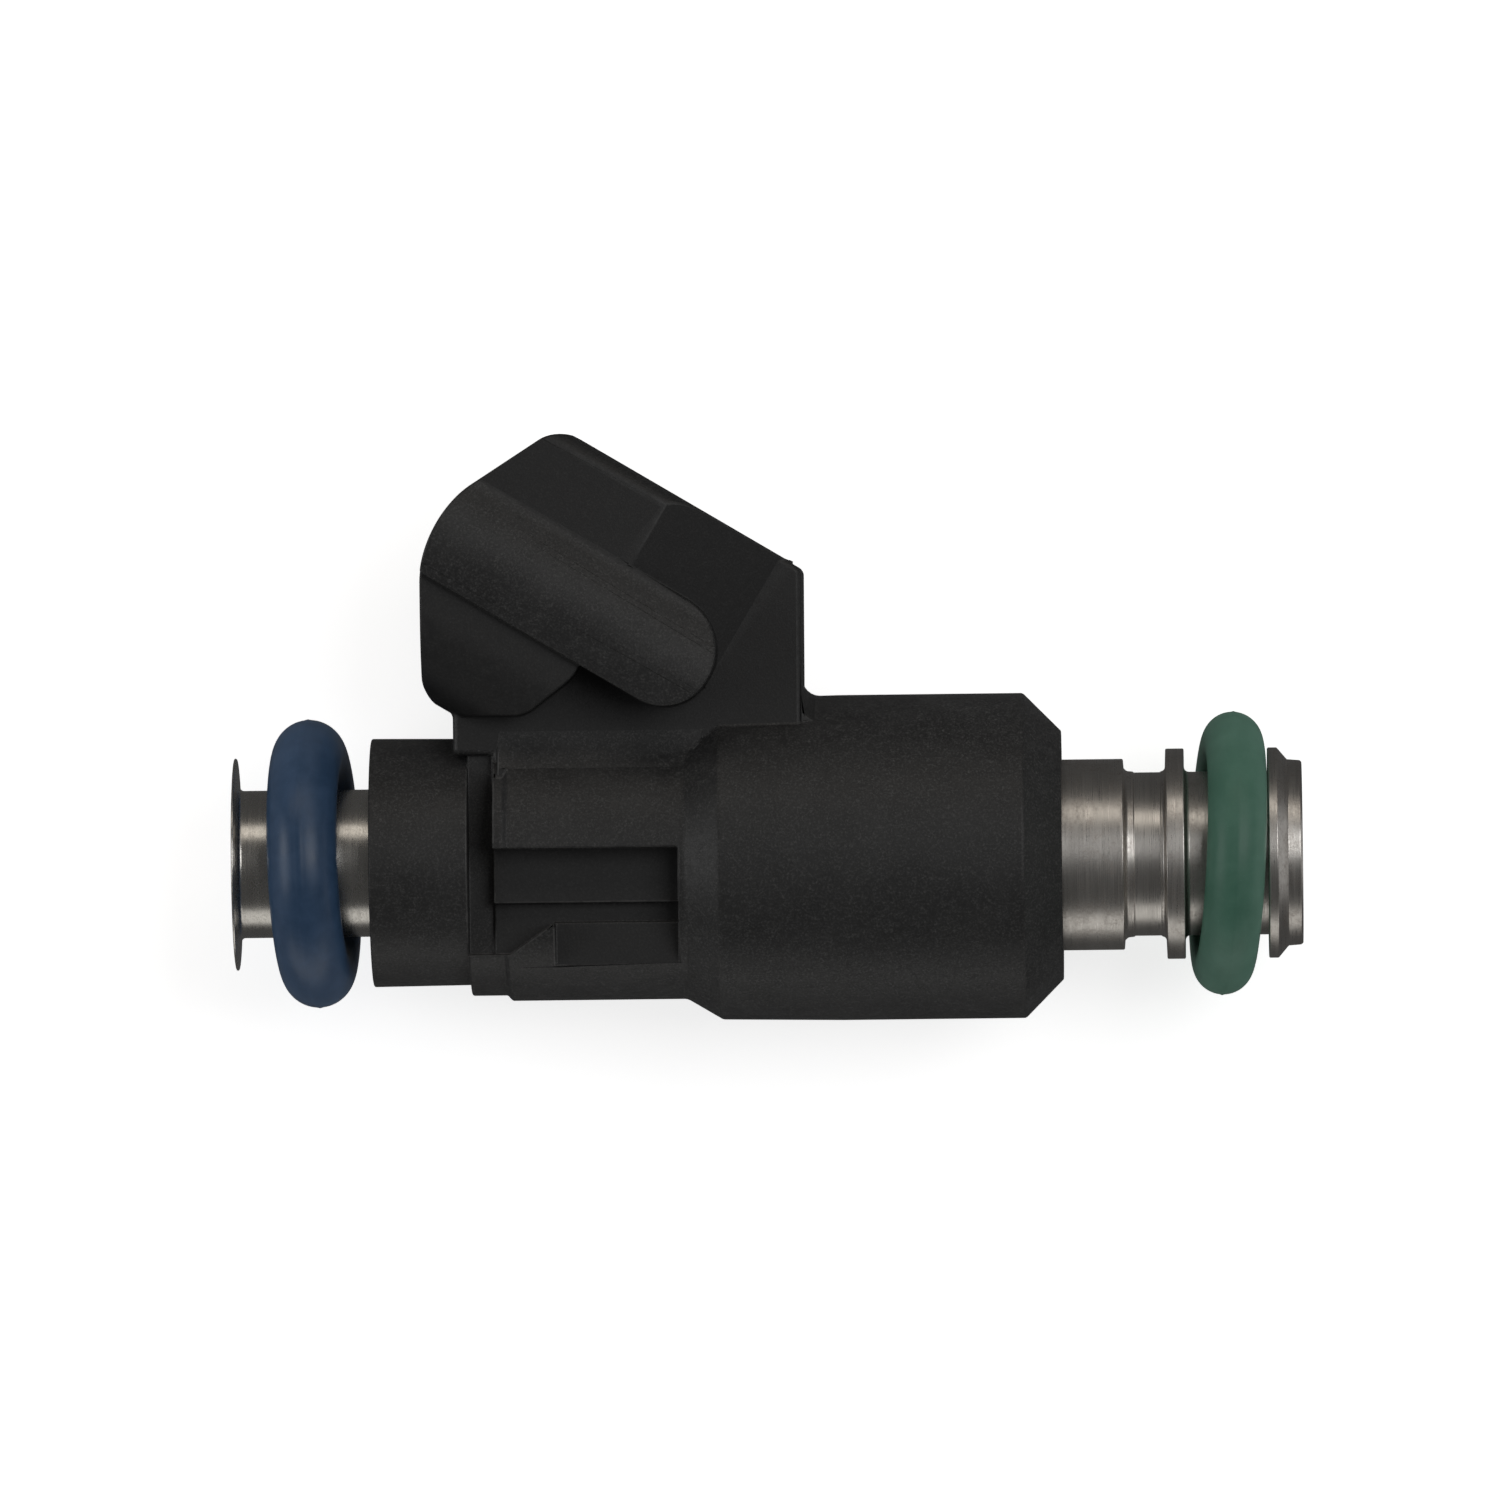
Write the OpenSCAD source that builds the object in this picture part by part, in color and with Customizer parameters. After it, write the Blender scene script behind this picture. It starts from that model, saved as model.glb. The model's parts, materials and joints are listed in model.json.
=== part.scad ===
// Top-feed fuel injector with an overmoulded two-pin connector hood, in millimetres.
// The injector axis is X, with the fuel inlet at -X and the spray end at +X.
// +Y points to the connector side and +Z points out of the flat lying side.
// The origin is on the axis, at the middle of the port seal.

/* [Inlet tube] */
// Outside diameter of the fuel inlet tube
tube_d = 7.5; // [6.5:0.1:8.5]
// Wall thickness of the inlet tube
tube_wall = 0.5; // [0.4:0.05:0.8]
// Diameter of the flared lip at the inlet end
lip_d = 10.8; // [10:0.1:12]
// Length of the inlet tube
tube_len = 22; // [20:0.5:23]

/* [Seals] */
// Cord thickness of the inlet O-ring
inlet_cord = 3.56; // [3.2:0.02:3.7]
// Distance from the inlet lip to the middle of the inlet O-ring
inlet_seal_s = 4.1; // [3.8:0.1:4.6]
// Cord thickness of the port O-ring
port_cord = 3; // [2.6:0.02:3.2]
// Outside diameter of the port O-ring
port_seal_d = 14.4; // [14:0.1:14.8]
// Distance from the inlet lip to the middle of the port O-ring
port_seal_s = 50.6; // [50.2:0.1:51]

/* [Overmould] */
// Diameter of the plain end next to the inlet O-ring
front_d = 12.6; // [12:0.1:13]
// Diameter of the narrow section under the hood
waist_d = 14.2; // [13.6:0.1:14.8]
// Diameter of the coil section
coil_d = 16.54; // [16:0.02:17.2]
// Distance from the inlet lip to the start of the overmould
front_s = 7.1; // [6.8:0.1:7.4]
// Distance from the inlet lip to the end of the overmould
shoulder_s = 42.2; // [42:0.1:42.6]
// Half width of the neck that carries the hood
neck_half = 4.6; // [4:0.1:5.2]

/* [Connector hood] */
// Angle between the hood axis and the injector axis, in degrees
hood_angle = 30.9; // [25:0.5:40]
// Height of the hood across its axis
hood_h = 15.3; // [14.5:0.1:16]
// Half width of the hood walls
hood_half = 7.5; // [7.2:0.1:8]
// Half width over the guide ribs
rib_half = 8.6; // [8.2:0.1:9]
// Half height of the guide ribs
rib_half_h = 2.2; // [1.8:0.1:2.4]
// Depth of the socket behind the mouth
socket_depth = 6.2; // [5.5:0.1:6.4]
// Width of the socket
socket_w = 12.4; // [12:0.1:13]
// Height of the socket
socket_h = 10.6; // [9.6:0.1:11.4]
// Distance between the two blades
blade_pitch = 5; // [4.6:0.1:5.4]
// Width of each blade
blade_w = 2.8; // [2.2:0.1:3]
// Thickness of each blade
blade_t = 0.8; // [0.6:0.05:0.9]
// Width of each blade's tail, between the hood and the coil
tail_w = 1.8; // [1.2:0.1:2]

/* [Valve body] */
// Diameter of the valve body where it leaves the overmould
body_d = 9.66; // [9.4:0.02:10]
// Diameter of the turned relief above the collar
relief_d = 8.26; // [8:0.02:8.6]
// Diameter of the seal collar and of the seal retainer
collar_d = 10.66; // [10.2:0.02:11]
// Bore of the valve body
body_bore_d = 7; // [6.6:0.1:7.2]
// Distance from the inlet lip to the tip
tip_s = 54.45; // [54.2:0.05:54.6]

/* [Valve] */
// Lift of the valve off its seat
lift = 0.08; // [0.05:0.01:0.12]
// Diameter of the valve ball
ball_d = 3.5; // [3:0.1:3.6]
// Diameter of the armature
armature_d = 6.8; // [6.4:0.1:6.8]
// Radial running clearance of the armature and the ball
run_gap = 0.03; // [0.02:0.01:0.05]
// Wire diameter of the return spring
spring_wire = 0.36; // [0.3:0.02:0.4]
// Number of spring coils
spring_turns = 10; // [8:1:11]

/* [Hidden] */
$fn = 64;
gap = 0.02;
eps = 0.01;

tube_r = tube_d / 2;
tube_bore = tube_r - tube_wall;
lip_r = lip_d / 2;
front_r = front_d / 2;
waist_r = waist_d / 2;
coil_r = coil_d / 2;
body_r = body_d / 2;
relief_r = relief_d / 2;
collar_r = collar_d / 2;
body_bore = body_bore_d / 2;
ball_r = ball_d / 2;
armature_r = armature_d / 2;

// Where the parts of the solenoid stack start and end along the axis
clip_s = front_s + 5;
waist_s = 13.4;
waist_end_s = 22.8;
washer_s = 25.6;
pole_s = 31.5;
armature_s = pole_s + lift + 0.005;
armature_end_s = 37;
body_top_s = 38.4;
housing_end_s = 40.6;
sleeve_bore = armature_r + run_gap + gap;
sleeve_r = sleeve_bore + 0.5;
housing_r = coil_r - 0.87;
housing_bore = housing_r - 0.65;
groove_r = port_seal_d / 2 - port_cord - 0.04;
pole_bore = 1.65;

// The valve seat is a 90 degree cone, which the ball touches
seat_s = 51.4;
seat_mouth = 2.2;
ball_s = seat_s + seat_mouth - (ball_r + 0.004) * sqrt(2);
needle_end_s = ball_s - 1.0;

// Side view of the hood: corners as [distance from the lip, height, corner radius]
hood_top = [17.05, 21.95];
mouth_face_s = 9.7;
neck_front_s = 11.4;
neck_back_s = 29.2;
hood_floor_y = 7.4;

// Point of the hood's own frame: u along the hood axis to the mouth, w down from its top wall
function hood_point(u, w) = [
    hood_top[0] - u * cos(hood_angle) - w * sin(hood_angle),
    hood_top[1] + u * sin(hood_angle) - w * cos(hood_angle)
];
hood_mid = hood_h / 2;
shell_back_u = -6.95;
rib_back_u = -12.9;
blade_tip_u = -0.9;
slope = tan(hood_angle);
top_back = [neck_back_s, hood_top[1] - slope * (neck_back_s - hood_top[0])];
bottom_front = [mouth_face_s, hood_point(0, hood_h)[1] - slope * (mouth_face_s - hood_point(0, hood_h)[0])];
bottom_neck = [neck_front_s, bottom_front[1] - slope * (neck_front_s - mouth_face_s)];
bottom_floor_s = mouth_face_s + (bottom_front[1] - hood_floor_y) / slope;

mouth_corners = [
    [hood_top[0], hood_top[1], 1.8],
    [mouth_face_s, 17.6, 5.4],
    [bottom_front[0], bottom_front[1], 1.8]
];
shell_side = concat(mouth_corners, [
    [bottom_floor_s, hood_floor_y, 0.4],
    [15.1, hood_floor_y, 1.6],
    [hood_point(shell_back_u, 10.6)[0], hood_point(shell_back_u, 10.6)[1], 2.4],
    [hood_point(shell_back_u, 0)[0], hood_point(shell_back_u, 0)[1], 0]
]);
neck_side = concat(mouth_corners, [
    [bottom_neck[0], bottom_neck[1], 0],
    [neck_front_s, 5.45, 0],
    [waist_s, 5.45, 0],
    [waist_s, 4, 0],
    [neck_back_s, 4, 0],
    [top_back[0], top_back[1], 0.3]
]);

tail_y = 5.2;
blade_path = [hood_point(blade_tip_u, hood_mid), hood_point(rib_back_u + 0.7, hood_mid),
    [hood_point(rib_back_u + 0.7, hood_mid)[0], tail_y], [28, tail_y]];

function unit(v) = v / norm(v);
function wrap(c, i) = c[(i + len(c)) % len(c)];
function xy(p) = [p[0], p[1]];
function to_prev(c, i) = unit(xy(wrap(c, i - 1)) - xy(c[i]));
function to_next(c, i) = unit(xy(wrap(c, i + 1)) - xy(c[i]));
function half_angle(c, i) = acos(to_prev(c, i) * to_next(c, i)) / 2;
function cut_len(c, i) = c[i][2] / tan(half_angle(c, i));
function arc_mid(c, i) = xy(c[i])
    + unit(to_prev(c, i) + to_next(c, i)) * c[i][2] / sin(half_angle(c, i));

// Outline with its convex corners rounded
module rounded(c) {
    polygon([for (i = [0 : len(c) - 1])
        for (d = c[i][2] > 0 ? [to_prev(c, i), to_next(c, i)] : [[0, 0]])
            xy(c[i]) + d * (c[i][2] > 0 ? cut_len(c, i) : 0)]);
    for (i = [0 : len(c) - 1])
        if (c[i][2] > 0)
            translate(arc_mid(c, i))
                circle(c[i][2]);
}

// Side view shape, in distance from the lip and height, made as thick as 2 * half
module side_slab(half) {
    translate([-port_seal_s, 0, -half])
        linear_extrude(2 * half)
            children();
}

// Hood frame: X is u, Y is w, Z is Z
module in_hood() {
    translate([hood_top[0] - port_seal_s, hood_top[1], 0])
        rotate([0, 0, 180 - hood_angle])
            children();
}

// Hood cross-section, drawn as [w, z], carried from u0 to u1
module along_hood(u0, u1) {
    in_hood()
        translate([u0, 0, 0])
            rotate([90, 0, 90])
                linear_extrude(u1 - u0)
                    children();
}

// Solid of revolution round the injector axis, drawn as [radius, distance from the lip]
module turned(profile) {
    translate([-port_seal_s, 0, 0])
        rotate([0, 90, 0])
            rotate_extrude()
                polygon(profile);
}

module ring(s0, s1, r_out, r_in) {
    turned([[r_in, s0], [r_out, s0], [r_out, s1], [r_in, s1]]);
}

module disc(s0, s1, r_out) {
    turned([[0, s0], [r_out, s0], [r_out, s1], [0, s1]]);
}

module o_ring(s, cord, r_in) {
    translate([s - port_seal_s, 0, 0])
        rotate([0, 90, 0])
            rotate_extrude()
                translate([r_in + cord / 2, 0])
                    circle(d = cord);
}

module bar(p, q, t) {
    translate(p)
        rotate(atan2(q[1] - p[1], q[0] - p[0]))
            translate([0, -t / 2])
                square([norm(q - p), t]);
}

// Side view of a blade from one point of its path to another, with its bends rounded
module blade_side(t, first, last) {
    for (i = [first : last - 1])
        bar(blade_path[i], blade_path[i + 1], t);
    for (i = [max(first, 1) : min(last, len(blade_path) - 2)])
        translate(blade_path[i])
            circle(d = t);
}

module terminal(side, extra = 0) {
    translate([0, 0, side * blade_pitch / 2]) {
        side_slab(blade_w / 2 + extra)
            blade_side(blade_t + 2 * extra, 0, 1);
        side_slab(tail_w / 2 + extra)
            blade_side(blade_t + 2 * extra, 1, len(blade_path) - 1);
    }
}

module terminal_left() {
    color("darkgoldenrod")
        terminal(1);
}

module terminal_right() {
    color("darkgoldenrod")
        terminal(-1);
}

module overmold_round() {
    turned([[0, front_s], [front_r, front_s], [front_r, clip_s], [waist_r - 0.28, clip_s],
        [waist_r - 0.28, waist_s + 0.5], [waist_r, waist_s + 0.7], [waist_r, 23.1],
        [coil_r - 0.14, 24.95], [coil_r, 31], [coil_r, 40.27], [coil_r - 1.85, 42.12],
        [coil_r - 1.93, shoulder_s], [0, shoulder_s]]);
}

// Everything cut out of one side of the round body in front of the coil
module side_cuts() {
    for (m = [0, 1])
        mirror([0, 0, m])
            translate([-port_seal_s, 0, 0]) {
                translate([clip_s, -4.7, 3.9])
                    cube([waist_s - clip_s, 13, 5]);
                translate([waist_s - eps, -2.1, 5])
                    cube([waist_end_s - waist_s + eps, 2.8, 5]);
                translate([0, 0, 4.2])
                    linear_extrude(5)
                        polygon([[waist_s - eps, -2.1], [waist_end_s, -2.1], [waist_end_s, -3.1],
                            [16.5, -3.1], [14.2, -4.7], [waist_s - eps, -4.7]]);
                translate([16.5, -5.3, 4.72])
                    cube([waist_end_s - 16.5, 2.2, 5]);
            }
}

module hood_shell() {
    intersection() {
        side_slab(hood_half + 1)
            rounded(shell_side);
        along_hood(-20, 10)
            rounded([[0, -hood_half, 0.8], [hood_h, -hood_half, 4], [hood_h, hood_half, 4],
                [0, hood_half, 0.8]]);
    }
}

// Upper part of the hood, tapering back to the neck
module hood_ramp() {
    in_hood()
        rotate([-90, 0, 0])
            linear_extrude(hood_mid)
                polygon([[shell_back_u + eps, -hood_half], [shell_back_u + eps, hood_half],
                    [rib_back_u, neck_half], [rib_back_u, -neck_half]]);
}

// Guide ribs along the sides of the hood, with the tongues of the mouth
module guide_ribs() {
    crown = 4.6;
    intersection() {
        side_slab(rib_half + 1)
            rounded(concat(mouth_corners, [[neck_back_s, 4, 0], [top_back[0], top_back[1], 0]]));
        in_hood()
            translate([0, 0, -rib_half - 1])
                linear_extrude(2 * rib_half + 2) {
                    translate([rib_back_u + rib_half_h, hood_mid - rib_half_h])
                        square([20, 2 * rib_half_h]);
                    translate([rib_back_u + rib_half_h, hood_mid])
                        circle(rib_half_h);
                }
        along_hood(-20, 10) {
            translate([0, -rib_half + crown])
                square([hood_h, 2 * (rib_half - crown)]);
            for (side = [-1, 1])
                translate([hood_mid, side * (rib_half - crown)])
                    circle(crown);
        }
    }
}

module socket() {
    along_hood(-socket_depth, 10)
        rounded([[hood_mid - socket_h / 2, -socket_w / 2, 3.2], [hood_mid + socket_h / 2, -socket_w / 2, 3.2],
            [hood_mid + socket_h / 2, socket_w / 2, 3.2], [hood_mid - socket_h / 2, socket_w / 2, 3.2]]);
}

module overmold_core() {
    turned([[0, front_s - 1], [tube_r + gap, front_s - 1], [tube_r + gap, tube_len],
        [sleeve_r + gap, tube_len], [sleeve_r + gap, washer_s - gap], [housing_r + gap, washer_s - gap],
        [housing_r + gap, housing_end_s + gap], [body_r + gap, housing_end_s + gap],
        [body_r + gap, shoulder_s + 1], [0, shoulder_s + 1]]);
}

module overmold() {
    color("#2b2b2d")
        difference() {
            union() {
                difference() {
                    overmold_round();
                    side_cuts();
                }
                side_slab(neck_half)
                    rounded(neck_side);
                hood_shell();
                hood_ramp();
                guide_ribs();
            }
            overmold_core();
            socket();
            terminal(1, gap);
            terminal(-1, gap);
        }
}

module inlet_tube() {
    color("silver")
        turned([[tube_bore, 0.3], [tube_bore + 0.3, 0], [lip_r - 0.1, 0.02], [lip_r, 0.12],
            [lip_r - 0.1, 0.34], [tube_r + 0.5, 0.34], [tube_r + 0.1, 0.5], [tube_r, 0.8],
            [tube_r, tube_len - gap], [tube_bore, tube_len - gap]]);
}

module inlet_o_ring() {
    color("#26394f")
        o_ring(inlet_seal_s, inlet_cord, tube_r + gap);
}

module filter_ring() {
    color("gold")
        turned([[2.5, 0.9], [tube_bore - gap, 0.9], [tube_bore - gap, 2.9], [2.75, 3.1], [2.5, 3.1]]);
}

module filter_frame() {
    color("ivory")
        union() {
            ring(1.2, 3.6, 2.48, 2);
            disc(10.8, 11.6, 2.45);
            for (a = [0 : 90 : 270])
                rotate([a, 0, 0])
                    translate([3.5 - port_seal_s, 2.02, -0.3])
                        cube([7.4, 0.4, 0.6]);
        }
}

module filter_mesh() {
    color("gainsboro")
        ring(3, 10.78, 1.98, 1.88);
}

module adjusting_sleeve() {
    color("slategray")
        difference() {
            ring(17, 24, pole_bore - gap, 1.1);
            translate([16 - port_seal_s, 0, -0.25])
                cube([9, 3, 0.5]);
        }
}

module pole_piece() {
    color("gray")
        turned([[pole_bore, 15], [tube_bore - gap, 15], [tube_bore - gap, tube_len], [sleeve_r, tube_len],
            [sleeve_r, 27.4], [sleeve_bore - gap, 27.4], [sleeve_bore - gap, pole_s], [pole_bore, pole_s]]);
}

module nonmagnetic_sleeve() {
    color("lightsteelblue")
        ring(27.4 + gap, body_top_s + 1.5, sleeve_r, sleeve_bore);
}

module armature() {
    color("dimgray")
        turned([[1.65, armature_s], [armature_r - 0.1, armature_s], [armature_r, armature_s + 0.1],
            [armature_r, armature_end_s - 0.3], [armature_r - 0.3, armature_end_s],
            [1.55 + gap, armature_end_s], [1.55 + gap, 34.8], [1, 34.8], [1, 33.6], [1.65, 33.6]]);
}

module needle_tube() {
    color("darkgray")
        difference() {
            ring(34.8 + gap, needle_end_s + 0.6, 1.55, 1.05);
            translate([ball_s - port_seal_s, 0, 0])
                sphere(ball_r + 0.01);
            for (a = [0, 90])
                rotate([a, 0, 0])
                    translate([48 - port_seal_s, 0, -3])
                        cylinder(h = 6, r = 0.45);
        }
}

module valve_ball() {
    color("white")
        translate([ball_s - port_seal_s, 0, 0])
            sphere(ball_r);
}

module ball_guide() {
    color("darkgray")
        difference() {
            ring(50.45, seat_s - gap, body_bore - gap, ball_r + run_gap);
            for (a = [0 : 60 : 300])
                rotate([a, 0, 0])
                    translate([50 - port_seal_s, 2.62, 0])
                        rotate([0, 90, 0])
                            cylinder(h = 2, r = 0.5);
        }
}

module valve_seat() {
    color("gray")
        turned([[seat_mouth, seat_s], [body_bore - gap, seat_s], [body_bore - gap, 53], [0.8, 53],
            [0.8, seat_s + seat_mouth - 0.8]]);
}

module orifice_disc() {
    color("silver")
        difference() {
            disc(53 + gap, 53.17, body_bore - gap);
            for (a = [45 : 90 : 315])
                rotate([a, 0, 0])
                    translate([52.9 - port_seal_s, 0.5, 0])
                        rotate([0, 90, 0])
                            cylinder(h = 0.4, r = 0.12);
        }
}

module orifice_retainer() {
    color("gray")
        turned([[1.6, 53.17 + gap], [body_bore - gap, 53.17 + gap], [body_bore - gap, 53.9], [2.3, 53.9]]);
}

module valve_body() {
    color("silver")
        turned([[sleeve_r + gap, body_top_s], [body_r, body_top_s], [body_r, 45.25], [body_r - 0.12, 45.37],
            [relief_r + 0.1, 45.4], [relief_r, 45.6], [relief_r, 47.25], [relief_r + 0.1, 47.45],
            [collar_r - 0.08, 47.5], [collar_r, 47.58], [collar_r, 48.35], [collar_r - 0.08, 48.43],
            [groove_r + 0.1, 48.45], [groove_r, 48.55], [groove_r, 53.9], [groove_r - 0.15, 54.05],
            [body_bore, 54.05], [body_bore, body_top_s + 1.52], [sleeve_r + gap, body_top_s + 1.52]]);
}

module seal_retainer() {
    color("silver")
        turned([[groove_r + gap, 52.65], [collar_r - 0.08, 52.65], [collar_r, 52.73], [collar_r, 53.12],
            [collar_r - 0.64, 53.78], [collar_r - 0.66, 54.28], [collar_r - 0.8, tip_s],
            [groove_r - 0.3, tip_s], [groove_r - 0.3, 54.07], [groove_r + gap, 54.07]]);
}

module port_o_ring() {
    color("#30523e")
        o_ring(port_seal_s, port_cord, port_seal_d / 2 - port_cord);
}

module coil_bobbin() {
    color("saddlebrown")
        difference() {
            turned([[sleeve_r + 0.04, 27.2], [6.6, 27.2], [6.6, 28.2], [sleeve_r + 0.5, 28.2],
                [sleeve_r + 0.5, 37.2], [6.6, 37.2], [6.6, 38.2], [sleeve_r + 0.04, 38.2]]);
            terminal(1, gap);
            terminal(-1, gap);
        }
}

module coil_winding() {
    color("peru")
        ring(28.2 + gap, 37.2 - gap, 6.45, sleeve_r + 0.52);
}

module coil_housing() {
    color("dimgray")
        turned([[housing_bore, washer_s], [housing_r, washer_s], [housing_r, housing_end_s],
            [body_r + gap, housing_end_s], [body_r + gap, body_top_s], [housing_bore, body_top_s]]);
}

module flux_washer() {
    color("gray")
        difference() {
            ring(washer_s, 27.15, housing_bore - gap, sleeve_r + gap);
            translate([washer_s - 1 - port_seal_s, 4.6, -4.3])
                cube([4, 4, 8.6]);
        }
}

// Helix with closed end coils, as stacked rings of points
module return_spring() {
    s0 = 24.05;
    s1 = 33.55;
    mean_r = 1.24;
    wire_r = spring_wire / 2;
    sides = 8;
    steps = spring_turns * 20;
    ends = 1.2 / spring_turns;
    free = s1 - s0 - spring_wire;
    closed = 1.15 * spring_wire * spring_turns;
    function along(t) = t < ends ? t * closed
        : t > 1 - ends ? free - (1 - t) * closed
        : ends * closed + (t - ends) / (1 - 2 * ends) * (free - 2 * ends * closed);
    points = [for (i = [0 : steps])
        for (j = [0 : sides - 1])
            let (t = i / steps, a = 360 * spring_turns * t, b = 360 * j / sides,
                r = mean_r + wire_r * cos(b))
                [s0 + wire_r + along(t) + wire_r * sin(b) - port_seal_s, r * cos(a), r * sin(a)]];
    faces = concat(
        [for (i = [0 : steps - 1])
            for (j = [0 : sides - 1])
                [i * sides + j, i * sides + (j + 1) % sides,
                    (i + 1) * sides + (j + 1) % sides, (i + 1) * sides + j]],
        [[for (j = [sides - 1 : -1 : 0]) j]],
        [[for (j = [0 : sides - 1]) steps * sides + j]]
    );
    color("lightgray")
        polyhedron(points = points, faces = faces, convexity = 10);
}

inlet_tube();
inlet_o_ring();
overmold();
terminal_left();
terminal_right();
filter_ring();
filter_frame();
filter_mesh();
adjusting_sleeve();
return_spring();
pole_piece();
nonmagnetic_sleeve();
armature();
needle_tube();
valve_ball();
ball_guide();
valve_seat();
orifice_disc();
orifice_retainer();
valve_body();
seal_retainer();
port_o_ring();
coil_bobbin();
coil_winding();
coil_housing();
flux_washer();
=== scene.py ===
"""Top-feed fuel injector on a pale floor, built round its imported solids.

Sizes in the classes are millimetres. Meshes are metres, in the frame of the solids: X runs from the
fuel inlet to the spray end, Y points to the connector hood and Z up. Places along the injector are
given as distances from the lip of the inlet tube.
"""

import json
import logging
import math
from collections.abc import Callable, Iterable, Sequence
from dataclasses import dataclass, field
from enum import Enum

import bmesh
import bpy
from mathutils import Matrix, Vector


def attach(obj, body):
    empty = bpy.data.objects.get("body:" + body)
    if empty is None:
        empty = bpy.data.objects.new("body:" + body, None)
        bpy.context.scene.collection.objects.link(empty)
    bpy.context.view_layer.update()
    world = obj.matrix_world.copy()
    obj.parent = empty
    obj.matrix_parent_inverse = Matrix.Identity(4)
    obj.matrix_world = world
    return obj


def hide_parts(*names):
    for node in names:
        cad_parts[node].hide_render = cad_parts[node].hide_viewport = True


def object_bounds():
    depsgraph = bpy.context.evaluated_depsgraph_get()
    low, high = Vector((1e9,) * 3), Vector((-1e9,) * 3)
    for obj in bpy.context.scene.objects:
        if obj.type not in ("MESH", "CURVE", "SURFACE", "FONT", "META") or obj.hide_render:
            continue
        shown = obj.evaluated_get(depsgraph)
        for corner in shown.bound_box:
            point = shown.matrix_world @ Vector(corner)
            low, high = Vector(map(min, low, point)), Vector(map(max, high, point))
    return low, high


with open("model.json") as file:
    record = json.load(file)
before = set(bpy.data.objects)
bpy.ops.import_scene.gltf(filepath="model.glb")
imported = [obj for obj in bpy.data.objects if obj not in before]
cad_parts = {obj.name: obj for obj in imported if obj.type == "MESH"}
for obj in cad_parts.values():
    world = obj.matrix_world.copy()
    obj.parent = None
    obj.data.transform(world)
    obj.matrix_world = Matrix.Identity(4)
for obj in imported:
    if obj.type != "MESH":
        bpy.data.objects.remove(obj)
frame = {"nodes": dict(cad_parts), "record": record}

log = logging.getLogger("injector")

MM = 0.001
LIP_TO_ORIGIN = 50.6
CAD_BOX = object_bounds()
# Name of the face mark that sets the moulding's painted light: painted shade on flats, a painted
# highlight on low outer edges.
PAINTED_LIGHT_MARK = "painted_light"
MERGE_REACH = 2e-7
ZERO_LENGTH = 1e-8
# Length of one wave of the wave texture at a scale of 1.
WAVE_LENGTH = 0.314159
# Range in which most values of a noise texture lie.
NOISE_SPAN = (0.3, 0.7)

Point = tuple[float, float]
Span = tuple[float, float]
Colour = tuple[float, float, float]
Socket = bpy.types.NodeSocket


def along(distance: float) -> float:
    """Return the frame's X, in metres, of a distance from the inlet lip in millimetres."""
    return (distance - LIP_TO_ORIGIN) * MM


# ---- shapes


def bevel(
    bm: bmesh.types.BMesh, geom: list, width: float, segments: int, affect: str, clamp: bool
) -> list[bmesh.types.BMFace]:
    """Round edges or points to a width in millimetres and return the new faces."""
    return bmesh.ops.bevel(
        bm,
        geom=geom,
        offset=width * MM,
        offset_type="OFFSET",
        segments=segments,
        profile=0.5,
        affect=affect,
        clamp_overlap=clamp,
        material=-1,
    )["faces"]


def put(name: str, data: bpy.types.ID) -> bpy.types.Object:
    """Put an object with some data into the scene."""
    placed = bpy.data.objects.new(name, data)
    bpy.context.scene.collection.objects.link(placed)
    return placed


class Join(Enum):
    """How one closed shape is combined with another."""

    ADD = "UNION"
    CUT = "DIFFERENCE"
    KEEP = "INTERSECT"


class PaintedLight(Enum):
    """How much painted light a face of the moulding gets: painted shade on flats, none on rounds, a
    painted highlight on edges.
    """

    FLAT = 0.0
    ROUND = 0.5
    EDGE = 1.0


@dataclass(frozen=True)
class Corner:
    """Corner of a side outline: distance from the lip, height above the axis, and radius."""

    distance: float
    height: float
    radius: float = 0.0


def corners(*places: tuple[float, ...]) -> list[Corner]:
    """Return the corners of an outline from their distances, heights and, where rounded, radii."""
    return [Corner(*place) for place in places]


def box(start: float, end: float, low: float, high: float) -> list[Corner]:
    """Return the outline of a rectangle."""
    return corners((start, low), (start, high), (end, high), (end, low))


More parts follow.
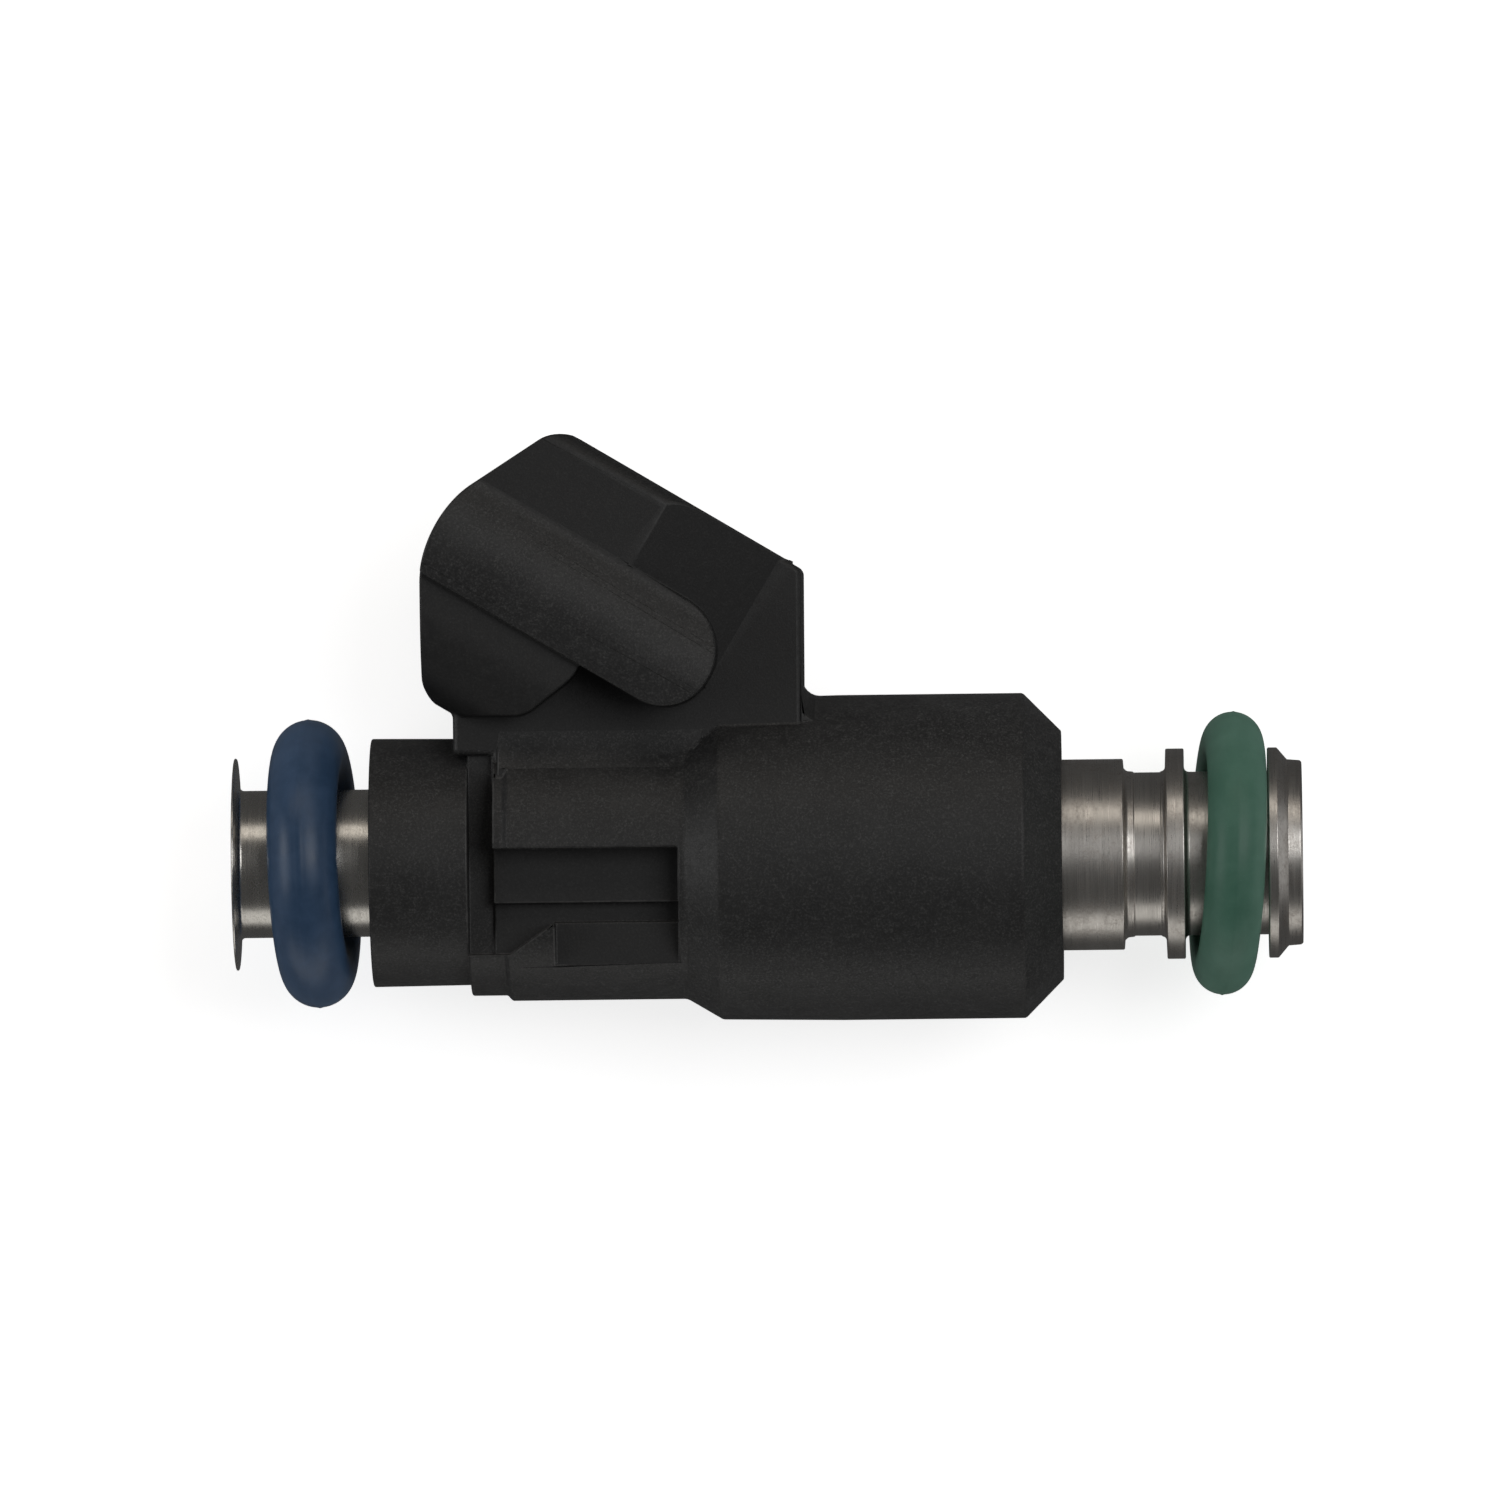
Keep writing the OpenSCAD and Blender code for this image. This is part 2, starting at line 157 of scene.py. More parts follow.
class Shape:
    """A closed mesh in the making, with the steps that a maker would use on it."""

    def __init__(self) -> None:
        """Start with an empty mesh."""
        self.bm = bmesh.new()

    @classmethod
    def turned(
        cls,
        outline: Sequence[Corner],
        solid: bool = False,
        steps: int = 176,
        start: float = 0.0,
        sweep: float = 360.0,
    ) -> "Shape":
        """Turn an outline round the injector axis.

        Args:
            outline: Corners in order, their heights being distances from the axis.
            solid: Whether the first and the last corner lie on the axis.
            steps: Number of facets round the sweep.
            start: Angle from the connector side at which the sweep starts, in degrees.
            sweep: Angle swept, in degrees.

        Returns:
            The turned shape.
        """
        shape = cls()
        verts = [shape.bm.verts.new((along(c.distance), c.height * MM, 0.0)) for c in outline]
        shape.bm.faces.new(verts)
        shape._round_corners(verts, [c.radius for c in outline])
        shape.moved(Matrix.Rotation(math.radians(start), 4, "X"))
        if sweep >= 360.0:
            bmesh.ops.delete(shape.bm, geom=shape.bm.faces[:], context="FACES_ONLY")
        if solid:
            on_axis = [e for e in shape.bm.edges if all(v.co.yz.length < 1e-7 for v in e.verts)]
            bmesh.ops.delete(shape.bm, geom=on_axis, context="EDGES")
        return shape.spun(steps, sweep)

    @classmethod
    def prism(cls, places: Sequence[Vector], radii: Sequence[float], way: Vector) -> "Shape":
        """Pull a flat outline out into a prism.

        Args:
            places: The outline's corners in order, in metres.
            radii: The rounding of each corner.
            way: The vector along which it is pulled, in metres.

        Returns:
            The prism.
        """
        shape = cls()
        verts = [shape.bm.verts.new(place) for place in places]
        shape.bm.faces.new(verts)
        shape._round_corners(verts, radii)
        lifted = bmesh.ops.extrude_face_region(shape.bm, geom=shape.bm.faces[:])
        top = [v for v in lifted["geom"] if isinstance(v, bmesh.types.BMVert)]
        bmesh.ops.translate(shape.bm, verts=top, vec=way)
        return shape.tidied()

    @classmethod
    def slab(cls, outline: Sequence[Corner], half: float) -> "Shape":
        """Make a side outline into a slab of a half thickness, centred on the injector."""
        places = [Vector((along(c.distance), c.height * MM, -half * MM)) for c in outline]
        return cls.prism(places, [c.radius for c in outline], Vector((0.0, 0.0, 2 * half * MM)))

    @classmethod
    def bar(cls, section: Sequence[Corner], hood: "HoodFrame", low: float, high: float) -> "Shape":
        """Carry a cross-section along the hood's axis.

        Args:
            section: Corners as depth below the top wall, distance off the middle, and radius.
            hood: The hood's frame.
            low: Where the bar starts, towards the injector.
            high: Where it ends, towards the mouth.

        Returns:
            The bar.
        """
        places = [hood.place(low, c.distance, c.height) for c in section]
        way = hood.place(high, 0.0, 0.0) - hood.place(low, 0.0, 0.0)
        return cls.prism(places, [c.radius for c in section], way)

    @classmethod
    def plate(cls, plan: Sequence[Corner], hood: "HoodFrame", top: float, bottom: float) -> "Shape":
        """Carry a plan, as seen square on the hood's top wall, down through the hood.

        Args:
            plan: Corners as distance along the hood's axis, distance off its middle, and radius.
            hood: The hood's frame.
            top: Depth at which the plate starts.
            bottom: Depth at which it ends.

        Returns:
            The plate.
        """
        places = [hood.place(c.distance, top, c.height) for c in plan]
        way = hood.place(0.0, bottom, 0.0) - hood.place(0.0, top, 0.0)
        return cls.prism(places, [c.radius for c in plan], way)

    def spun(self, steps: int, sweep: float = 360.0) -> "Shape":
        """Spin what is drawn so far round the injector axis, through an angle in degrees."""
        bmesh.ops.spin(
            self.bm,
            geom=self.bm.verts[:] + self.bm.edges[:] + self.bm.faces[:],
            cent=(0.0, 0.0, 0.0),
            axis=(1.0, 0.0, 0.0),
            dvec=(0.0, 0.0, 0.0),
            angle=math.radians(sweep),
            steps=steps,
            use_merge=sweep >= 360.0,
            use_normal_flip=False,
            use_duplicate=False,
        )
        return self.tidied()

    def _round_corners(self, verts: list[bmesh.types.BMVert], radii: Sequence[float]) -> None:
        """Round the corners of a flat face, each to its own radius in millimetres."""
        places = [v.co.copy() for v in verts]
        for i, (vert, radius) in enumerate(zip(verts, radii)):
            if radius <= 0.0:
                continue
            before = (places[i - 1] - places[i]).normalized()
            after = (places[(i + 1) % len(places)] - places[i]).normalized()
            half_angle = before.angle(after) / 2
            width, segments = radius / math.tan(half_angle), max(4, int(4 * radius) + 3)
            bevel(self.bm, [vert], width, segments, "VERTICES", clamp=False)

    def tidied(self) -> "Shape":
        """Merge doubled points, close the seam and turn every face outwards."""
        bmesh.ops.remove_doubles(self.bm, verts=self.bm.verts[:], dist=MERGE_REACH)
        bmesh.ops.dissolve_degenerate(self.bm, edges=self.bm.edges[:], dist=ZERO_LENGTH)
        bmesh.ops.recalc_face_normals(self.bm, faces=self.bm.faces[:])
        return self

    def rounded(self, width: float, segments: int, angle: float) -> "Shape":
        """Round the edges that bend more than an angle in degrees, to a width."""
        edges = [e for e in self.bm.edges if math.degrees(e.calc_face_angle(0.0)) > angle]
        bevel(self.bm, edges, width, segments, "EDGES", clamp=True)
        return self

    def moved(self, matrix: Matrix) -> "Shape":
        """Move the whole shape by a matrix."""
        bmesh.ops.transform(self.bm, matrix=matrix, verts=self.bm.verts[:])
        return self

    def to_object(self, name: str) -> bpy.types.Object:
        """Turn the shape into an object of the scene and let go of the working mesh."""
        mesh = bpy.data.meshes.new(name)
        self.bm.to_mesh(mesh)
        self.bm.free()
        return put(name, mesh)


def combine(base: bpy.types.Object, other: Shape | bpy.types.Object, join: Join) -> None:
    """Add, cut or keep a shape or an object on an object.

    Args:
        base: The object that is changed.
        other: The other one, which is used up.
        join: How the two are combined.
    """
    tool = other.to_object(f"{base.name}_tool") if isinstance(other, Shape) else other
    step = base.modifiers.new("join", "BOOLEAN")
    step.operation = join.value
    step.solver = "EXACT"
    step.object = tool
    bake(base)
    data = tool.data
    bpy.data.objects.remove(tool)
    bpy.data.meshes.remove(data)


def bake(piece: bpy.types.Object) -> None:
    """Write an object's modifiers into its mesh."""
    view = bpy.context.evaluated_depsgraph_get()
    made = bpy.data.meshes.new_from_object(piece.evaluated_get(view))
    old = piece.data
    piece.modifiers.clear()
    piece.data = made
    made.name = piece.name
    bpy.data.meshes.remove(old)


def weld(piece: bpy.types.Object, reach: float) -> None:
    """Merge points of an object nearer than a reach in millimetres, and clean its faces."""
    bm = bmesh.new()
    bm.from_mesh(piece.data)
    bmesh.ops.remove_doubles(bm, verts=bm.verts[:], dist=reach * MM)
    bmesh.ops.dissolve_degenerate(bm, edges=bm.edges[:], dist=reach * MM)
    bmesh.ops.dissolve_limit(
        bm, angle_limit=math.radians(0.3), verts=bm.verts[:], edges=bm.edges[:], delimit={"NORMAL"}
    )
    bm.to_mesh(piece.data)
    bm.free()


def soften(
    piece: bpy.types.Object,
    width: float,
    rate: Callable[[bmesh.types.BMFace, bool], PaintedLight],
    angle: float = 32.0,
) -> None:
    """Round the sharp edges of an object and mark on each face how much painted light it gets.

    Args:
        piece: The object.
        width: Width of the rounding in millimetres.
        rate: Tells how much painted light a face gets, given whether it belongs to a rounded outer
            edge.
        angle: Edges that bend less than this many degrees stay as they are.
    """
    bm = bmesh.new()
    bm.from_mesh(piece.data)
    painted_light = bm.faces.layers.float.new(PAINTED_LIGHT_MARK)
    sharp = [e for e in bm.edges if math.degrees(e.calc_face_angle(0.0)) > angle]
    made = bevel(bm, sharp, width, 2, "EDGES", clamp=False)
    bm.normal_update()
    outer = {f for f in made if sum(e.calc_face_angle_signed(0.0) for e in f.edges) > 0.1}
    # Each face is marked with the painted light its colour gets.
    for face in bm.faces:
        face[painted_light] = rate(face, face in outer).value
    bm.to_mesh(piece.data)
    bm.free()
    smooth(piece, 40.0)


def smooth(piece: bpy.types.Object, angle: float = 30.0) -> None:
    """Shade an object smooth, but keep large faces plain where they meet narrow ones.

    Args:
        piece: The object.
        angle: Edges sharper than this many degrees stay crisp.
    """
    piece.data.shade_smooth()
    bm = bmesh.new()
    bm.from_mesh(piece.data)
    for edge in bm.edges:
        small, large = sorted(face.calc_area() for face in edge.link_faces)
        bend = math.degrees(edge.calc_face_angle(0.0))
        edge.smooth = bend < angle and large < 8.0 * small
    bm.to_mesh(piece.data)
    bm.free()


# ---- finishes


class Recipe:
    """The node tree of one finish, on the object's own coordinates."""

    def __init__(self, name: str) -> None:
        """Start a material with a Principled shader."""
        self.material = bpy.data.materials.new(name)
        self.material.use_nodes = True
        self.tree = self.material.node_tree
        self.tree.nodes.clear()
        self.shader = self.add("ShaderNodeBsdfPrincipled")
        output = self.add("ShaderNodeOutputMaterial")
        self.tree.links.new(self.shader.outputs["BSDF"], output.inputs["Surface"])
        self.place = self.add("ShaderNodeTexCoord").outputs["Object"]

    def add(self, kind: str, **inputs: Socket | float | Colour) -> bpy.types.Node:
        """Add a node of a kind and set its inputs."""
        node = self.tree.nodes.new(kind)
        self.feed_all(node, inputs)
        return node

    def feed_all(self, node: bpy.types.Node, inputs: dict[str, Socket | float | Colour]) -> None:
        """Set a node's inputs by name, with underlines for spaces."""
        for name, value in inputs.items():
            self.feed(value, node.inputs[name.replace("_", " ")])

    def feed(self, value: Socket | float | Colour, socket: Socket) -> None:
        """Link a socket to another, or set it to a plain value."""
        if isinstance(value, bpy.types.NodeSocket):
            self.tree.links.new(value, socket)
        elif isinstance(value, tuple) and len(value) == 3 and socket.type == "RGBA":
            socket.default_value = (*value, 1.0)
        else:
            socket.default_value = value

    def scaled(self, scale: Colour) -> Socket:
        """Return the object coordinates, stretched along each axis."""
        return self.add("ShaderNodeMapping", Vector=self.place, Scale=scale).outputs["Vector"]

    def noise(
        self,
        size: float,
        detail: float = 3.0,
        rough: float = 0.55,
        stretch: Colour = (1.0, 1.0, 1.0),
        warp: float = 0.0,
    ) -> Socket:
        """Return a noise whose features have a size in millimetres.

        Args:
            size: Size of the features.
            detail: Number of finer layers.
            rough: Strength of the finer layers.
            stretch: Factor on the coordinates of each axis; below 1 draws features out along it.
            warp: Distortion.

        Returns:
            The noise's value.
        """
        node = self.add(
            "ShaderNodeTexNoise",
            Vector=self.scaled(stretch),
            Scale=1.0 / (size * MM),
            Detail=detail,
            Roughness=rough,
            Distortion=warp,
        )
        return node.outputs["Fac"]

    def bands(self, pitch: float, axis: str = "X", warp: float = 0.0) -> Socket:
        """Return even waves of a pitch in millimetres across one axis."""
        scale = WAVE_LENGTH / (pitch * MM)
        node = self.add("ShaderNodeTexWave", Vector=self.place, Scale=scale, Distortion=warp)
        node.wave_type = "BANDS"
        node.bands_direction = axis
        return node.outputs["Fac"]

    def fit(
        self, value: Socket, low: float, high: float, to_low: float = 0.0, to_high: float = 1.0
    ) -> Socket:
        """Map a value from one range to another, held at both ends."""
        node = self.add(
            "ShaderNodeMapRange",
            Value=value,
            From_Min=low,
            From_Max=high,
            To_Min=to_low,
            To_Max=to_high,
        )
        return node.outputs["Result"]

    def spread(self, noise: Socket, reach: Span) -> Socket:
        """Map a noise to the whole of a range."""
        return self.fit(noise, *NOISE_SPAN, *reach)

    def maths(self, kind: str, a: Socket | float, b: Socket | float = 0.0) -> Socket:
        """Return the result of a sum on one or two values."""
        node = self.add("ShaderNodeMath")
        node.operation = kind
        self.feed(a, node.inputs[0])
        self.feed(b, node.inputs[1])
        return node.outputs[0]

    def times(self, a: Socket, b: Socket | float) -> Socket:
        """Return the product of two values."""
        return self.maths("MULTIPLY", a, b)

    def blend(self, share: Socket | float, a: Socket | Colour, b: Socket | Colour) -> Socket:
        """Mix two colours."""
        node = self.add("ShaderNodeMix")
        node.data_type = "RGBA"
        self.feed(share, node.inputs[0])
        self.feed(a, node.inputs[6])
        self.feed(b, node.inputs[7])
        return node.outputs[2]

    def mark(self, name: str) -> Socket:
        """Return a value that the mesh carries."""
        node = self.add("ShaderNodeAttribute")
        node.attribute_name = name
        return node.outputs["Fac"]

    def axis_part(self, name: str) -> Socket:
        """Return one of the object's coordinates."""
        return self.add("ShaderNodeSeparateXYZ", Vector=self.place).outputs[name]

    def bump(
        self, height: Socket, depth: float, strength: float, under: Socket | None = None
    ) -> Socket:
        """Return a normal that is bent by a height.

        Args:
            height: The height, from 0 to 1.
            depth: Depth of the relief in millimetres.
            strength: Share of the bump that is used.
            under: A normal to build on.

        Returns:
            The bent normal.
        """
        node = self.add("ShaderNodeBump", Strength=strength, Distance=depth * MM, Height=height)
        if under is not None:
            self.feed(under, node.inputs["Normal"])
        return node.outputs["Normal"]

    def finish(self, **inputs: Socket | float | Colour) -> bpy.types.Material:
        """Set the shader's inputs and return the material."""
        self.feed_all(self.shader, inputs)
        return self.material


@dataclass(frozen=True)
class GlassFilledNylon:
    """Black nylon with short glass fibres: flow tone and flecks, with painted shade on flats, where
    flecks are fainter, and a painted highlight on low outer edges.
    """

    name: str = "black_nylon"
    # flat is a painted shade for flat faces; edge is a painted highlight for low outer edges.
    flat: Colour = (0.0115, 0.0115, 0.0118)
    dark: Colour = (0.0135, 0.0135, 0.0138)
    round_tone: Colour = (0.021, 0.021, 0.0212)
    edge: Colour = (0.075, 0.075, 0.074)
    fleck: Colour = (0.07, 0.07, 0.069)
    fleck_size: float = 0.115
    roughness: Span = (0.46, 0.62)

    def make(self) -> bpy.types.Material:
        """Build the material."""
        mix = Recipe(self.name)
        painted_light = mix.mark(PAINTED_LIGHT_MARK)
        flat, round_tone, edge = (step.value for step in PaintedLight)
        flow = mix.noise(2.2, 4.0, 0.6, (0.8, 1.0, 1.0), 0.3)
        mottle = mix.noise(0.45, 4.0, 0.7)
        grain = mix.noise(self.fleck_size, 3.0, 0.75)
        base = mix.blend(mix.fit(flow, 0.35, 0.68), self.dark, self.round_tone)
        # Painted shade: flat faces are pulled towards the darker flat colour.
        base = mix.blend(mix.fit(painted_light, flat, round_tone, 0.9, 0.0), base, self.flat)
        flecks = mix.times(mix.fit(grain, 0.47, 0.7), mix.fit(mottle, 0.35, 0.6, 0.3))
        # Flecks fade on flats, as part of that painted shade.
        flecks = mix.times(flecks, mix.fit(painted_light, flat, round_tone, 0.3))
        colour = mix.blend(flecks, base, self.fleck)
        # Painted highlight: rounded outer edges low on the body are lightened in patches.
        patches = mix.fit(mottle, 0.35, 0.6, 0.25)
        painted_light_level = mix.times(mix.fit(painted_light, round_tone, edge, 0.0, 0.8), patches)
        colour = mix.blend(painted_light_level, colour, self.edge)
        rough = mix.spread(mottle, self.roughness)
        skin = mix.bump(grain, 0.012, 0.55)
        skin = mix.bump(mix.noise(0.5, 3.0, 0.6), 0.02, 0.35, skin)
        return mix.finish(Base_Color=colour, Roughness=rough, Normal=skin, Specular_IOR_Level=0.5)


@dataclass(frozen=True)
class TurnedSteel:
    """Turned stainless steel: fine lines round the axis, with fuel stains and dull patches."""

    name: str
    bright: Colour = (0.66, 0.635, 0.60)
    stain: Colour = (0.30, 0.255, 0.225)
    roughness: Span = (0.22, 0.42)
    line_pitch: float = 0.05
    stain_share: float = 0.6
    relief: float = 0.004
    polished: Span = (45.84, 47.22)
    polish_fade: float = 0.03
    band: Colour = (0.42, 0.40, 0.375)

    def make(self) -> bpy.types.Material:
        """Build the material."""
        mix = Recipe(self.name)
        lines = mix.noise(self.line_pitch, 4.0, 0.7, (1.0, 0.012, 0.012))
        wide = mix.noise(0.42, 3.0, 0.6, (1.0, 0.04, 0.04))
        blot = mix.noise(0.9, 6.0, 0.68, warp=0.8)
        speck = mix.fit(mix.noise(0.09, 3.0, 0.75, (1.0, 0.6, 0.6)), 0.38, 0.62, 0.1)
        dull = mix.times(mix.fit(blot, 0.42, 0.64, 0.1, self.stain_share), speck)
        start, end = self.polished
        half, fade = (end - start) / 2, self.polish_fade
        off = mix.maths("SUBTRACT", mix.axis_part("X"), along((start + end) / 2))
        off = mix.maths("ABSOLUTE", off)
        dull = mix.times(dull, mix.fit(off, (half - fade) * MM, (half + fade) * MM, 0.25))
        colour = mix.blend(dull, self.bright, self.stain)
        colour = mix.blend(mix.fit(wide, 0.35, 0.7, 0.0, 0.35), colour, self.band)
        rough = mix.maths("ADD", mix.spread(lines, self.roughness), mix.times(dull, 0.22))
        relief = mix.bump(lines, self.relief, 0.5)
        relief = mix.bump(wide, self.relief, 0.25, relief)
        return mix.finish(Base_Color=colour, Roughness=rough, Normal=relief, Metallic=1.0)


@dataclass(frozen=True)
class MouldedRubber:
    """Moulded seal rubber, semi-matt, with a faint bloom."""

    name: str
    deep: Colour
    bloom: Colour
    roughness: Span = (0.3, 0.42)
    dust: float = 2.2

    def make(self) -> bpy.types.Material:
        """Build the material."""
        mix = Recipe(self.name)
        cloud = mix.noise(1.3, 4.0, 0.6, warp=0.4)
        grit = mix.noise(0.07, 2.0, 0.6)
        colour = mix.blend(mix.fit(cloud, 0.35, 0.68), self.deep, self.bloom)
        dust = tuple(self.dust * c for c in self.bloom)
        colour = mix.blend(mix.fit(grit, 0.68, 0.8, 0.0, 0.5), colour, dust)
        rough = mix.spread(cloud, self.roughness)
        skin = mix.bump(grit, 0.006, 0.4)
        return mix.finish(Base_Color=colour, Roughness=rough, Normal=skin, Specular_IOR_Level=0.45)


@dataclass(frozen=True)
class MouldedNylon:
    """Plain moulded nylon in one tint, with a satin skin and slight cloudiness."""

    name: str
    tint: Colour
    shade: Colour
    roughness: Span = (0.35, 0.5)

    def make(self) -> bpy.types.Material:
        """Build the material."""
        mix = Recipe(self.name)
        cloud = mix.noise(1.1, 3.0, 0.55)
        grit = mix.noise(0.09, 2.0, 0.6)
        colour = mix.blend(mix.fit(cloud, 0.35, 0.68), self.tint, self.shade)
        rough = mix.spread(grit, self.roughness)
        return mix.finish(Base_Color=colour, Roughness=rough, Normal=mix.bump(grit, 0.008, 0.35))


@dataclass(frozen=True)
class PlatedMetal:
    """Bright, plated or drawn metal with fine lines along one axis and a slight tarnish."""

    name: str
    tint: Colour
    tarnish: Colour
    roughness: Span = (0.2, 0.36)
    stretch: Colour = (0.03, 1.0, 1.0)

    def make(self) -> bpy.types.Material:
        """Build the material."""
        mix = Recipe(self.name)
        lines = mix.noise(0.06, 3.0, 0.65, self.stretch)
        cloud = mix.noise(0.8, 5.0, 0.65)
        colour = mix.blend(mix.fit(cloud, 0.42, 0.68, 0.0, 0.8), self.tint, self.tarnish)
        rough = mix.spread(lines, self.roughness)
        skin = mix.bump(lines, 0.003, 0.4)
        return mix.finish(Base_Color=colour, Roughness=rough, Normal=skin, Metallic=1.0)


@dataclass(frozen=True)
class EnamelledWire:
    """Layers of enamelled copper wire, seen as fine rounded turns with painted shade in the grooves
    between them.
    """

    name: str = "copper_wire"
    pitch: float = 0.21
    bright: Colour = (0.62, 0.21, 0.06)
    dark: Colour = (0.42, 0.11, 0.03)
    # The colour of the grooves between turns is painted shade.
    shaded_gap: Colour = (0.05, 0.012, 0.004)

    def make(self) -> bpy.types.Material:
        """Build the material."""
        mix = Recipe(self.name)
        turns = mix.bands(self.pitch, "X", 0.15)
        cloud = mix.noise(0.7, 3.0, 0.6)
        colour = mix.blend(mix.fit(cloud, 0.35, 0.7), self.bright, self.dark)
        # Painted shade darkens the grooves between turns.
        colour = mix.blend(mix.fit(turns, 0.0, 0.35, 0.75, 0.0), colour, self.shaded_gap)
        rough, skin = mix.spread(cloud, (0.22, 0.34)), mix.bump(turns, 0.05, 0.8)
        return mix.finish(Base_Color=colour, Roughness=rough, Normal=skin, Metallic=0.85)


@dataclass(frozen=True)
class WovenMesh:
    """Fine woven filter cloth: threads both ways, lighter where they cross, with painted shade in
    the openings between them.
    """

    name: str = "filter_weave"
    pitch: float = 0.16
    # The colour of the openings is painted shade, for the dark inside seen through the weave.
    shaded_gap: Colour = (0.13, 0.12, 0.10)
    thread: Colour = (0.66, 0.64, 0.57)

    def make(self) -> bpy.types.Material:
        """Build the material."""
        mix = Recipe(self.name)
        warp = mix.bands(self.pitch, "X", 0.05)
        weft = mix.bands(self.pitch, "Z", 0.05)
        weave = mix.maths("MAXIMUM", warp, weft)
        rough = mix.spread(mix.noise(0.3, 3.0, 0.6), (0.5, 0.65))
        # Painted shade fills the openings between threads.
        colour = mix.blend(mix.fit(weave, 0.35, 0.85), self.shaded_gap, self.thread)
        return mix.finish(Base_Color=colour, Roughness=rough, Normal=mix.bump(weave, 0.04, 0.8))


@dataclass(frozen=True)
class PaleFloor:
    """White paper sweep."""

    name: str = "pale_floor"
    low: Colour = (0.93, 0.93, 0.93)
    high: Colour = (0.95, 0.95, 0.95)
    light: Colour = (1.0, 1.0, 1.0)
    glow: float = 0.75

    def make(self) -> bpy.types.Material:
        """Build the material."""
        mix = Recipe(self.name)
        cloud = mix.noise(60.0, 2.0, 0.5)
        colour = mix.blend(mix.fit(cloud, *NOISE_SPAN), self.low, self.high)
        return mix.finish(
            Base_Color=colour,
            Roughness=0.9,
            Specular_IOR_Level=0.1,
            Emission_Color=self.light,
            Emission_Strength=self.glow,
        )


class Finishes:
    """The materials of the injector, each made once and named after the slot that it dresses."""

    def __init__(self) -> None:
        """Make every finish."""
        made = (
            GlassFilledNylon(),
            TurnedSteel("valve_steel"),
            MouldedRubber("inlet_rubber", (0.030, 0.066, 0.132), (0.042, 0.086, 0.168)),
            MouldedRubber(
                "port_rubber", (0.064, 0.172, 0.121), (0.080, 0.200, 0.144), (0.42, 0.52)
            ),
            PlatedMetal("terminal_tin", (0.70, 0.66, 0.58), (0.48, 0.42, 0.34), (0.26, 0.42)),
            PlatedMetal(
                "filter_brass", (0.78, 0.55, 0.22), (0.48, 0.32, 0.13), stretch=(1.0, 0.03, 0.03)
            ),
            MouldedNylon("filter_nylon", (0.72, 0.68, 0.56), (0.60, 0.56, 0.44)),
            WovenMesh(),
            TurnedSteel("magnet_steel", (0.50, 0.49, 0.47), (0.28, 0.26, 0.24), (0.28, 0.46)),
            TurnedSteel(
                "drawn_steel",
                (0.70, 0.68, 0.64),
                (0.40, 0.37, 0.33),
                (0.2, 0.28),
                line_pitch=0.09,
                stain_share=0.45,
                relief=0.0015,
            ),
            PlatedMetal("spring_steel", (0.50, 0.49, 0.47), (0.33, 0.31, 0.29)),
            PlatedMetal(
                "ball_steel", (0.82, 0.82, 0.82), (0.70, 0.70, 0.71), (0.05, 0.11), (1.0, 1.0, 1.0)
            ),
            PlatedMetal(
                "orifice_steel",
                (0.62, 0.60, 0.57),
                (0.42, 0.38, 0.33),
                (0.25, 0.4),
                stretch=(1.0, 0.04, 1.0),
            ),
            MouldedNylon("bobbin_nylon", (0.11, 0.045, 0.018), (0.075, 0.03, 0.013)),
            EnamelledWire(),
            PlatedMetal("housing_steel", (0.44, 0.43, 0.40), (0.27, 0.25, 0.22), (0.28, 0.44)),
        )
        self.by_slot = {finish.name: finish.make() for finish in made}

    def dress(self, piece: bpy.types.Object, slot: str) -> None:
        """Give a piece the finish of a slot in all of its material slots."""
        if not piece.material_slots:
            piece.data.materials.append(self.by_slot[slot])
        for material_slot in piece.material_slots:
            material_slot.material = self.by_slot[slot]


# ---- sub-assemblies


@dataclass
class Assembly:
    """Something built of pieces that ride on one body."""

    finishes: Finishes
    body: str = "housing"

    def keep(self, piece: bpy.types.Object, slot: str, *nodes: str) -> None:
        """Dress a new piece, put it on its body and let it stand for solids.

        Args:
            piece: The piece.
            slot: The record's slot that its finish comes from.
            nodes: The solids that it stands for.
        """
        self.finishes.dress(piece, slot)
        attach(piece, self.body)
        if nodes:
            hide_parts(*nodes)
        log.info("%s: %d faces", piece.name, len(piece.data.polygons))

    def stand_in(
        self, shape: Shape, name: str, slot: str, node: str, angle: float = 30.0
    ) -> None:
        """Make a shape into a smooth, dressed piece that stands for one solid."""
        piece = shape.to_object(name)
        smooth(piece, angle)
        self.keep(piece, slot, node)


@dataclass
class HoodFrame:
    """Places in the connector hood: along its axis, below its top wall, and off its middle."""

    top_distance: float = 17.05
    top_height: float = 21.95
    angle: float = 30.9

    def point(self, out: float, down: float) -> Point:
        """Return distance from the lip and height of a place on the hood's middle plane."""
        lean = math.radians(self.angle)
        return (
            self.top_distance - out * math.cos(lean) - down * math.sin(lean),
            self.top_height + out * math.sin(lean) - down * math.cos(lean),
        )

    def place(self, out: float, down: float, side: float) -> Vector:
        """Return a place in the frame's metres."""
        distance, height = self.point(out, down)
        return Vector((along(distance), height * MM, side * MM))

    def corner(self, out: float, down: float, radius: float = 0.0) -> Corner:
        """Return a side outline's corner at a place of the hood."""
        return Corner(*self.point(out, down), radius)


